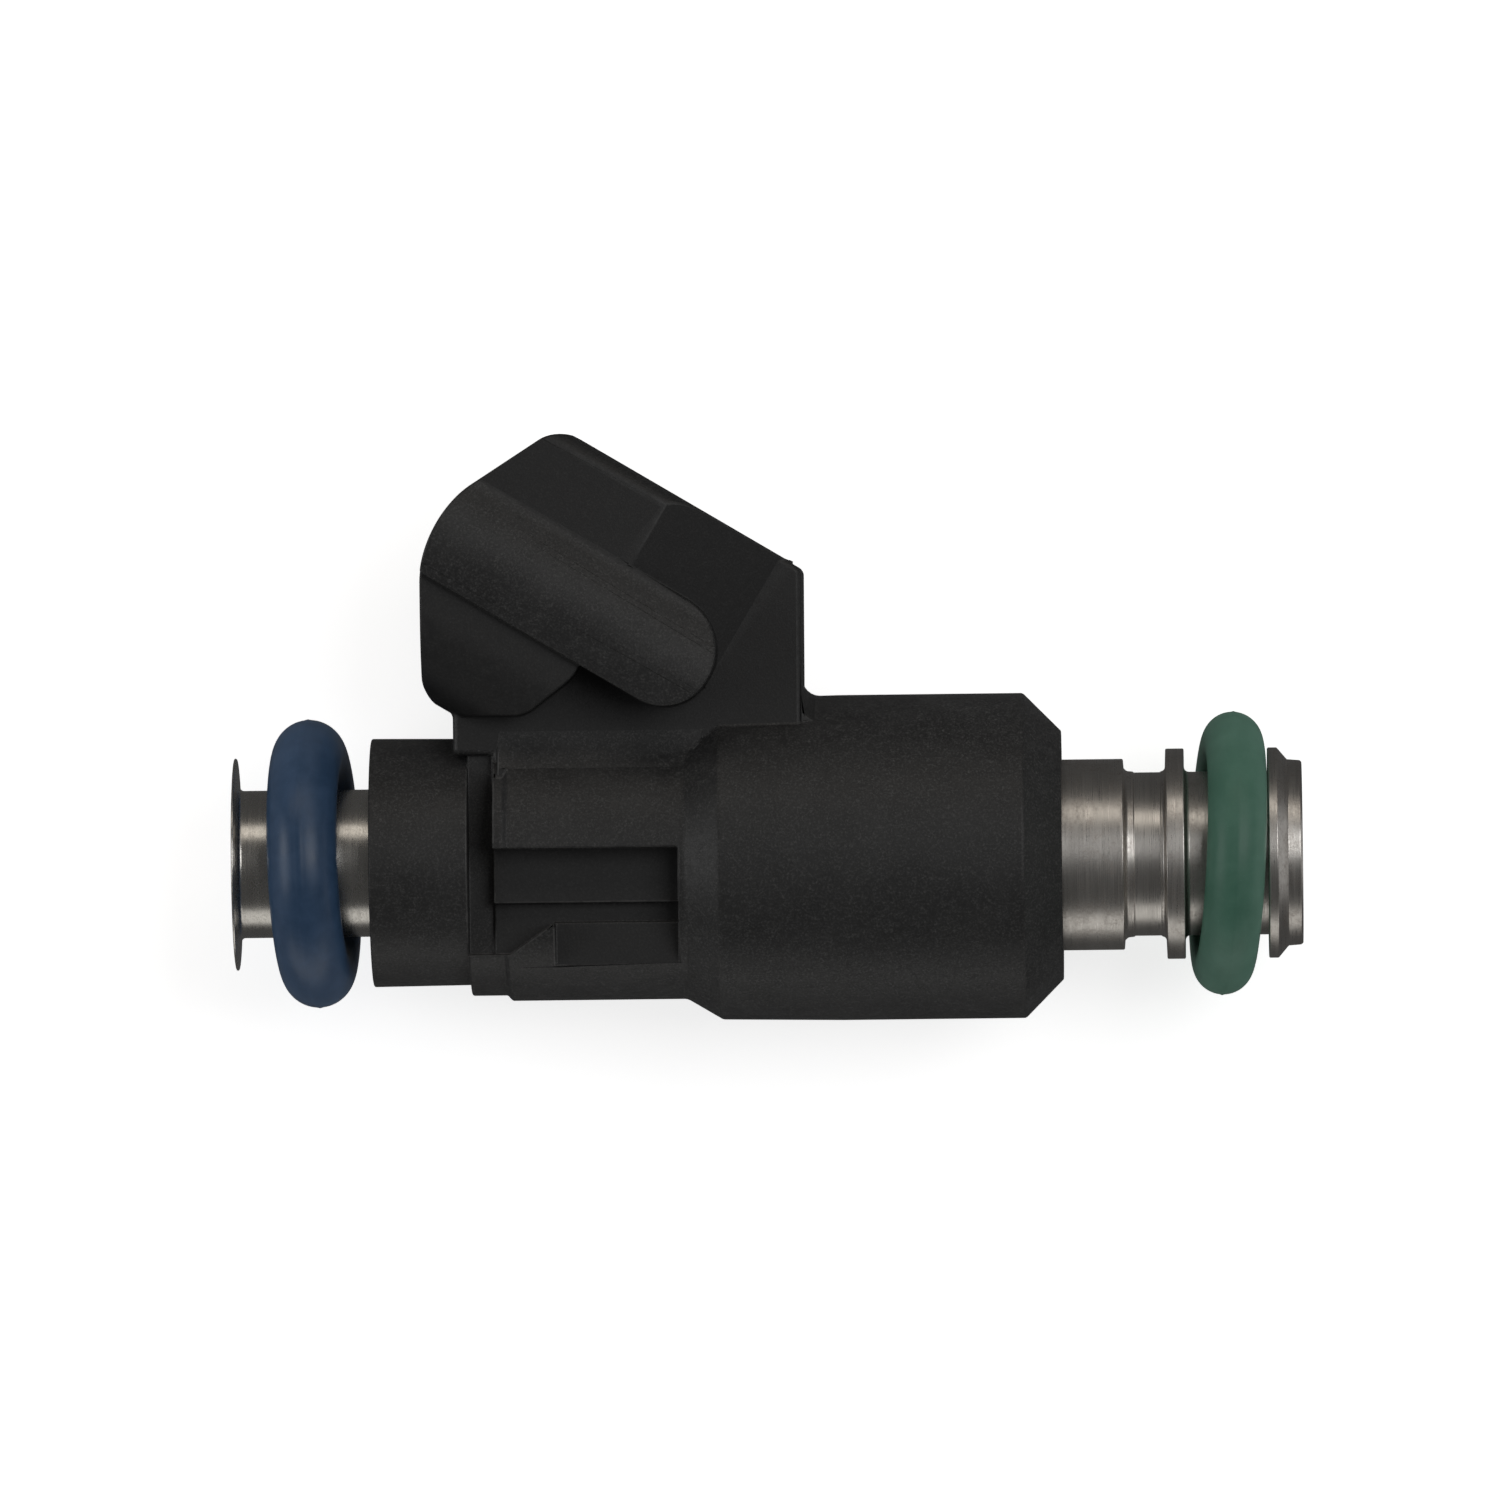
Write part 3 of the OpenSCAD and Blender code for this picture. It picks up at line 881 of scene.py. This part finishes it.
@dataclass
class Overmould(Assembly):
    """The black moulded body: plain front end, clip groove, waist, coil section, neck and hood."""

    hood: HoodFrame = field(default_factory=HoodFrame)
    front_r: float = 6.3
    waist_r: float = 7.1
    coil_r: float = 8.27
    front: float = 7.1
    groove: float = 12.1
    waist: float = 13.4
    waist_end: float = 22.8
    coil_start: float = 24.85
    coil_full: float = 31.0
    coil_end: float = 40.27
    shoulder_start: float = 42.0
    shoulder: float = 42.2
    cut_height: float = 2.5
    keel_start: float = 16.5
    ramp_start: float = 14.2
    neck_half: float = 4.6
    neck_front: float = 11.4
    neck_back: float = 29.08
    neck_base: float = 5.45
    neck_root: float = 4.0
    neck_inset: float = 0.06
    skirt_side: tuple[Point, ...] = ((3.0, 5.3), (4.72, 5.3), (5.6, 4.82), (6.8, 4.56))
    hood_half: float = 7.5
    hood_height: float = 15.3
    hood_floor: float = 7.4
    hood_foot: float = 4.0
    rib_half: float = 8.6
    rib_half_height: float = 2.2
    rib_crown: float = 4.6
    rib_back: float = -12.9
    rib_foot: float = 3.4
    shell_back: float = -6.95
    mouth_face: float = 9.9
    past_mouth: float = 8.0
    socket_width: float = 12.4
    socket_height: float = 10.6
    socket_depth: float = 5.6
    socket_corner: float = 3.2
    tube_r: float = 3.77
    tube_end: float = 22.0
    magnet_r: float = 3.99
    coil_front: float = 25.58
    coil_back: float = 40.62
    coil_bore_r: float = 7.42
    body_r: float = 4.85
    edge: float = 0.09
    # Height above the axis below which rounded outer edges get a painted highlight.
    low_side: float = 6.0

    @property
    def middle(self) -> float:
        """Depth of the hood's axis below its top wall."""
        return self.hood_height / 2

    def _wall(self, distance: float, depth: float) -> float:
        """Height of one of the hood's walls, by its depth, at a distance from the lip."""
        start, height = self.hood.point(0.0, depth)
        return height - math.tan(math.radians(self.hood.angle)) * (distance - start)

    def round_body(self) -> Shape:
        """Turn the front end, waist and coil section as one closed shape."""
        return Shape.turned(
            corners(
                (self.front, 0.0), (self.front, self.front_r + 0.02, 0.1),
                (self.groove, self.front_r - 0.03, 0.0),
                (self.groove, self.waist_r - 0.28, 0.12),
                (self.waist + 0.5, self.waist_r - 0.28, 0.15),
                (self.waist + 0.75, self.waist_r, 0.2),
                (self.waist_end + 0.25, self.waist_r, 0.6),
                (self.coil_start, self.coil_r - 0.1, 0.35), (self.coil_full, self.coil_r),
                (self.coil_end, self.coil_r, 0.25),
                (self.shoulder_start, self.coil_r - 1.75, 0.3),
                (self.shoulder, self.coil_r - 1.95, 0.1), (self.shoulder, 0.0),
            ),
            solid=True,
        )

    def side_cuts(self) -> Iterable[Shape]:
        """Yield the clip groove, pockets and keel recess, on both sides."""
        near, far, keel = self.waist - 0.1, self.waist_end, self.keel_start
        ramp = [(near, -4.7), (near, -2.1), (far, -2.1), (far, -3.1), (keel, -3.1)]
        floors = (
            (3.9, box(self.groove, self.waist, -4.7, 8.3)),
            (5.0, box(near, far, -2.1, 0.7)),
            (4.2, corners(*ramp, (self.ramp_start, -4.7))),
            (4.72, box(keel, far, -5.3, -3.05)),
        )
        half = self.cut_height
        for floor, outline in floors:
            for side in (1, -1):
                lift = Matrix.Translation((0.0, 0.0, side * (floor + half) * MM))
                yield Shape.slab(outline, half).moved(lift)

    def neck(self) -> Shape:
        """Make the block that carries the hood, its end and walls clear of the hood's own."""
        front, back, root, base = self.neck_front, self.neck_back, self.neck_root, self.neck_base
        end, inset = self.past_mouth - 0.5, self.neck_inset
        outline = [
            self.hood.corner(end, inset),
            self.hood.corner(end, self.hood_height - inset),
            Corner(front, self._wall(front, self.hood_height) + 0.07, 0.5),
            *corners((front, base), (self.waist, base), (self.waist, root), (back, root)),
            Corner(back + 0.05, self._wall(back, 0.0) - 0.07, 0.45),
        ]
        return Shape.slab(outline, self.neck_half).rounded(0.25, 3, 60.0)

    def neck_skirt(self) -> Shape:
        """Make the soft foot by which the neck's sides run out into the waist."""
        start, end = along(self.waist + 0.25), along(self.waist_end + 1.2)
        section = [*self.skirt_side, *((y, -z) for y, z in reversed(self.skirt_side))]
        places = [Vector((start, y * MM, z * MM)) for y, z in section]
        return Shape.prism(places, [0.0] * len(places), Vector((end - start, 0.0, 0.0)))

    def neck_fillet(self) -> Shape:
        """Make the fillet between the neck's back wall and the coil section."""
        back, top = self.neck_back, self.coil_r - 0.03
        outline = corners(
            (back - 0.4, top - 0.4), (back - 0.4, top + 1.4), (back - 0.01, top + 1.4),
            (back - 0.01, top + 0.01, 0.9), (back + 1.4, top + 0.01), (back + 1.4, top - 0.4),
        )
        return Shape.turned(outline, steps=40, start=-40.0, sweep=80.0)

    def lower_lobe(self) -> Shape:
        """Make the side outline of the hood's lower half, open at the mouth."""
        outline = [
            *corners((2.0, 22.0), (2.0, self.hood_floor), (15.1, self.hood_floor, 1.6)),
            self.hood.corner(self.shell_back, 10.6, 2.4),
            self.hood.corner(self.shell_back, self.middle - 1.0),
            self.hood.corner(self.past_mouth + 0.6, self.middle - 1.0),
        ]
        return Shape.slab(outline, self.hood_half + 1.0)

    def hood_section(self, bottom: float) -> Shape:
        """Make the cross-section of the hood's wide walls, down to a depth, as a long bar."""
        half, foot = self.hood_half, self.hood_foot if bottom > self.middle else 0.0
        side = corners((0.0, half, 0.9), (bottom, half, foot))
        section = [*side, *(Corner(c.distance, -c.height, c.radius) for c in reversed(side))]
        return Shape.bar(section, self.hood, -20.0, self.past_mouth)

    def hood_plan(self) -> Shape:
        """Make the plan of the hood's upper half, which narrows back to the neck."""
        wide, bend = self.hood_half + 0.01, self.shell_back + 0.4
        back = self.rib_back - 0.5
        inside = self.neck_half - 0.5 * (wide - self.neck_half) / (bend - self.rib_back)
        plan = corners(
            (self.past_mouth + 1.0, -wide), (self.past_mouth + 1.0, wide), (bend, wide, 1.0),
            (back, inside), (back, -inside), (bend, -wide, 1.0),
        )
        return Shape.plate(plan, self.hood, -1.0, self.hood_height + 1.0)

    def rib_band(self) -> Shape:
        """Make the side outline of the guide ribs."""
        upper, lower = self.middle - self.rib_foot, self.middle + self.rib_half_height
        outline = [
            self.hood.corner(self.past_mouth - 0.25, upper),
            self.hood.corner(self.past_mouth - 0.25, lower),
            self.hood.corner(self.rib_back, lower, 2.5),
            self.hood.corner(self.rib_back, upper, 2.95),
        ]
        return Shape.slab(outline, self.rib_half + 1.0)

    def rib_section(self) -> Shape:
        """Make the cross-section of both guide ribs: crowned, with a long, soft upper flank."""
        half, crown, reach = self.rib_half_height + 0.1, self.rib_crown, self.rib_half
        steps = [half * (i / 8 - 1) for i in range(17)]
        rise = [reach - crown + math.sqrt(crown * crown - w * w) for w in steps]
        flank = [
            Corner(self.middle - self.rib_foot - 1.0, self.hood_half - 0.06),
            Corner(self.middle - 3.14, self.hood_half + 0.01, 1.6),
        ]
        upper = flank + [Corner(self.middle + w, h) for w, h in zip(steps, rise)]
        lower = [Corner(c.distance, -c.height, c.radius) for c in reversed(upper)]
        return Shape.bar(upper + lower, self.hood, -20.0, self.past_mouth)

    def mouth(self) -> Shape:
        """Make the outline that gives the hood its mouth, top and bottom walls."""
        far, low, slack = 40.0, self.neck_front - 0.3, 0.05
        outline = [
            Corner(self.hood.top_distance, self.hood.top_height + slack, 1.95),
            Corner(self.mouth_face, 17.4, 5.9),
            Corner(self.mouth_face, self._wall(self.mouth_face, self.hood_height) - slack, 1.8),
            Corner(low, self._wall(low, self.hood_height) - slack),
            *corners((low, 2.0), (far, 2.0)),
            Corner(far, self._wall(far, 0.0) + slack),
        ]
        return Shape.slab(outline, self.rib_half + 2.0)

    def socket(self) -> Shape:
        """Make the hollow of the socket."""
        half_h, half_w = self.socket_height / 2, self.socket_width / 2
        low, high = self.middle - half_h, self.middle + half_h
        ends = ((low, -half_w), (high, -half_w), (high, half_w), (low, half_w))
        section = corners(*((*end, self.socket_corner) for end in ends))
        return Shape.bar(section, self.hood, -self.socket_depth, self.past_mouth + 2.0)

    def core(self) -> Shape:
        """Make the hollow that the tube, magnet and valve body fill."""
        start, end = self.front - 1.0, self.shoulder + 1.0
        return Shape.turned(
            corners(
                (start, 0.0), (start, self.tube_r),
                (self.tube_end, self.tube_r), (self.tube_end, self.magnet_r),
                (self.coil_front, self.magnet_r), (self.coil_front, self.coil_bore_r),
                (self.coil_back, self.coil_bore_r), (self.coil_back, self.body_r),
                (end, self.body_r), (end, 0.0),
            ),
            solid=True,
            steps=96,
        )

    def painted_light_level(self, face: bmesh.types.BMFace, outer: bool) -> PaintedLight:
        """Rate a face for painted light: low outer edges get a painted highlight; turned faces,
        ribs and deep floors keep their tone; other flats get painted shade.
        """
        place = face.calc_center_median() / MM
        low = place.y < self.low_side
        # Rounded outer edges low on the body get the painted highlight.
        if outer and low:
            return PaintedLight.EDGE
        turned = place.yz.length < self.coil_r + 0.03 and abs(face.normal.z) < 0.9999
        proud = abs(place.z) > self.hood_half + 0.03
        inner = low and abs(place.z) < 4.0
        # Flats that are not turned, proud or deep get painted shade.
        return PaintedLight.ROUND if turned or proud or inner else PaintedLight.FLAT

    def build(self) -> None:
        """Build the moulding and dress it."""
        piece = self.round_body().to_object("overmould_body")
        for cut in self.side_cuts():
            combine(piece, cut, Join.CUT)
        hood = self.lower_lobe().to_object("hood")
        combine(hood, self.hood_section(self.hood_height), Join.KEEP)
        upper = self.hood_section(self.middle).to_object("hood_upper")
        combine(upper, self.hood_plan(), Join.KEEP)
        combine(hood, upper, Join.ADD)
        ribs = self.rib_band().to_object("guide_ribs")
        combine(ribs, self.rib_section(), Join.KEEP)
        combine(hood, ribs, Join.ADD)
        combine(hood, self.neck(), Join.ADD)
        combine(hood, self.mouth(), Join.KEEP)
        combine(piece, hood, Join.ADD)
        combine(piece, self.neck_skirt(), Join.ADD)
        fillet = self.neck_fillet().to_object("neck_fillet")
        block = Shape.slab(box(25.0, 33.0, 5.0, 12.0), self.neck_half - 0.13)
        combine(fillet, block, Join.KEEP)
        combine(piece, fillet, Join.ADD)
        combine(piece, self.core(), Join.CUT)
        combine(piece, self.socket(), Join.CUT)
        weld(piece, 0.004)
        soften(piece, self.edge, self.painted_light_level)
        self.keep(piece, "black_nylon", "overmold")


@dataclass
class SealRing(Assembly):
    """An O-ring, lying slightly askew as it was pushed on, with the fine flash of its mould."""

    name: str = "seal_ring"
    node: str = "inlet_o_ring"
    slot: str = "inlet_rubber"
    middle: float = 4.1
    cord: float = 3.56
    bore_r: float = 3.77
    flash: float = 0.035
    lean: float = 0.0
    yaw: float = 0.0

    def build(self) -> None:
        """Build the ring and dress it."""
        centre_r = self.bore_r + self.cord / 2
        shape = Shape()
        bmesh.ops.create_circle(
            shape.bm,
            segments=72,
            radius=self.cord / 2 * MM,
            matrix=Matrix.Translation((along(self.middle), centre_r * MM, 0.0)),
        )
        outermost = max(shape.bm.verts, key=lambda v: v.co.y)
        outermost.co.y += self.flash * MM
        shape.spun(224)
        pivot = Matrix.Translation((along(self.middle), 0.0, 0.0))
        lean = Matrix.Rotation(math.radians(self.lean), 4, "Z")
        yaw = Matrix.Rotation(math.radians(self.yaw), 4, "Y")
        shape.moved(pivot @ lean @ yaw @ pivot.inverted())
        self.stand_in(shape, self.name, self.slot, self.node, 50.0)


@dataclass
class InletTube(Assembly):
    """The drawn fuel tube with its flared lip."""

    outer_r: float = 3.75
    bore_r: float = 3.25
    lip_r: float = 5.4
    length: float = 21.98

    def build(self) -> None:
        """Build the tube and dress it."""
        shape = Shape.turned(
            corners(
                (0.1, self.bore_r, 0.3), (0.1, self.lip_r, 0.06), (0.22, self.lip_r, 0.06),
                (0.3, self.outer_r + 0.35, 0.12), (0.42, self.outer_r, 0.2),
                (self.length, self.outer_r), (self.length, self.bore_r),
            ),
            steps=192,
        )
        self.stand_in(shape, "inlet_tube_skin", "drawn_steel", "inlet_tube")


@dataclass
class ValveBody(Assembly):
    """The turned steel body below the moulding, and the ring on its tip that holds the seal."""

    body_r: float = 4.855
    relief_r: float = 4.155
    collar_r: float = 5.35
    groove_r: float = 4.16
    bore_r: float = 3.5
    pole_r: float = 4.01
    steps: int = 192
    top: float = 38.4
    tip: float = 54.4

    def build(self) -> None:
        """Build the body and the ring and dress them."""
        relief, collar, groove = self.relief_r, self.collar_r, self.groove_r
        body = Shape.turned(
            corners(
                (self.top, self.pole_r), (self.top, self.body_r), (45.32, self.body_r, 0.08),
                (45.36, relief + 0.22), (45.5, relief + 0.08, 0.2), (45.82, relief + 0.05, 0.2),
                (45.86, relief, 0.05), (47.2, relief, 0.05), (47.24, relief + 0.05, 0.05),
                (47.44, relief + 0.08, 0.2), (47.48, collar, 0.08), (48.42, collar, 0.08),
                (48.42, groove, 0.25), (54.05, groove, 0.1), (54.05, self.bore_r, 0.1),
                (39.92, self.bore_r), (39.92, self.pole_r),
            ),
            steps=self.steps,
        )
        self.stand_in(body, "valve_body_turned", "valve_steel", "valve_body")
        ring = Shape.turned(
            corners(
                (52.65, groove + 0.02), (52.65, collar, 0.08), (53.14, collar, 0.08),
                (53.66, 4.74, 0.06), (54.3, 4.69, 0.05), (self.tip, 4.6, 0.05),
                (self.tip, groove - 0.3, 0.12), (54.07, groove - 0.3), (54.07, groove + 0.02),
            ),
            steps=self.steps,
        )
        self.stand_in(ring, "seal_retainer_turned", "valve_steel", "seal_retainer")


@dataclass
class InnerParts(Assembly):
    """Everything that keeps its solid's own shape and only needs its finish."""

    replaced: tuple[str, ...] = (
        "overmold",
        "inlet_tube",
        "inlet_o_ring",
        "port_o_ring",
        "valve_body",
        "seal_retainer",
    )

    def build(self) -> None:
        """Dress the solids that are shown as they are."""
        slots = {entry["node"]: entry["material_slot"] for entry in frame["record"]["subparts"]}
        for name, node in frame["nodes"].items():
            if name not in self.replaced:
                self.finishes.dress(node, slots[name])
                log.info("%s: dressed in %s", name, slots[name])


# ---- studio


@dataclass(frozen=True)
class Softbox:
    """A soft light, placed by the direction in which it stands seen from the injector.

    across is its angle from straight above towards the connector's side, lengthwise the same
    towards the spray end, both in degrees; length lies along the injector. Sizes and reach are in
    metres.
    """

    name: str
    across: float
    lengthwise: float
    power: float
    length: float
    width: float
    reach: float = 0.5
    tint: Colour = (1.0, 1.0, 1.0)

    def hang(self, centre: Vector) -> None:
        """Hang the light, facing a centre."""
        data = bpy.data.lights.new(self.name, "AREA")
        data.shape = "RECTANGLE"
        data.size, data.size_y = self.length, self.width
        data.energy = self.power
        data.color = self.tint
        light = put(self.name, data)
        across = Matrix.Rotation(math.radians(-self.across), 4, "X")
        lengthwise = Matrix.Rotation(math.radians(self.lengthwise), 4, "Y")
        away = Matrix.Translation((0.0, 0.0, self.reach))
        light.matrix_world = Matrix.Translation(centre) @ across @ lengthwise @ away
        light.visible_camera = False


@dataclass
class Studio:
    """Floor, soft lights and camera."""

    floor_size: float = 6.0
    floor_gap: float = 0.0002
    sensor: float = 36.0
    distance: float = 1.0
    view_width: float = 0.07634
    centre: Span = (-0.02424, 0.00553)
    yaw: float = 1.2
    roll: float = 0.68
    room: float = 0.066
    lights: tuple[Softbox, ...] = (
        Softbox("upper_strip", 52.0, 0.0, 0.38, 0.7, 0.17, tint=(1.0, 0.93, 0.84)),
        Softbox("lower_strip", -91.0, 0.0, 0.15, 0.5, 0.13, 0.25, (1.0, 0.98, 0.94)),
        Softbox("overhead", 12.0, 28.0, 0.6, 0.32, 0.24),
        Softbox("inlet_side", 4.0, -60.0, 0.46, 0.2, 0.3),
        Softbox("spray_side", 8.0, 92.0, 0.10, 0.25, 0.3, 0.4),
    )

    def floor(self) -> None:
        """Lay the floor under the lowest point."""
        bm = bmesh.new()
        bmesh.ops.create_grid(bm, x_segments=8, y_segments=8, size=self.floor_size / 2)
        bmesh.ops.translate(bm, verts=bm.verts[:], vec=(0.0, 0.0, CAD_BOX[0][2] - self.floor_gap))
        mesh = bpy.data.meshes.new("floor")
        bm.to_mesh(mesh)
        bm.free()
        floor = put("floor", mesh)
        mesh.materials.append(PaleFloor().make())
        floor.visible_glossy = False

    def world(self) -> None:
        """Make the room white to look at and dim as a source of light."""
        world = bpy.data.worlds.new("room")
        world.use_nodes = True
        tree = world.node_tree
        back = tree.nodes["Background"]
        back.inputs["Color"].default_value = (1.0, 1.0, 1.0, 1.0)
        seen = tree.nodes.new("ShaderNodeMapRange")
        path = tree.nodes.new("ShaderNodeLightPath")
        tree.links.new(path.outputs["Is Camera Ray"], seen.inputs["Value"])
        seen.inputs["To Min"].default_value = self.room
        tree.links.new(seen.outputs["Result"], back.inputs["Strength"])
        bpy.context.scene.world = world
        bpy.context.scene.view_settings.view_transform = "Standard"

    def camera(self) -> None:
        """Set the camera square over the injector."""
        data = bpy.data.cameras.new("camera")
        data.sensor_width = self.sensor
        data.lens = self.sensor * self.distance / self.view_width
        data.clip_start, data.clip_end = 0.05, 20.0
        camera = put("camera", data)
        yaw = Matrix.Rotation(math.radians(self.yaw), 4, "Y")
        roll = Matrix.Rotation(math.radians(-self.roll), 4, "Z")
        away = Matrix.Translation((0.0, 0.0, self.distance))
        camera.matrix_world = Matrix.Translation((*self.centre, 0.0)) @ yaw @ roll @ away
        bpy.context.scene.camera = camera

    def build(self) -> None:
        """Set up the whole studio."""
        self.camera()
        self.floor()
        self.world()
        for light in self.lights:
            light.hang(Vector((*self.centre, 0.0)))


def main() -> None:
    """Build the injector, dress it and light it."""
    logging.basicConfig(level=logging.INFO, format="%(name)s %(message)s")
    finishes = Finishes()
    Studio().build()
    Overmould(finishes).build()
    InletTube(finishes).build()
    ValveBody(finishes).build()
    SealRing(finishes, name="inlet_seal", lean=1.8, yaw=-3.8).build()
    SealRing(
        finishes,
        name="port_seal",
        node="port_o_ring",
        slot="port_rubber",
        middle=50.6,
        cord=3.0,
        bore_r=4.2,
        lean=-3.0,
        yaw=4.3,
    ).build()
    InnerParts(finishes).build()


if __name__ == "__main__":
    main()
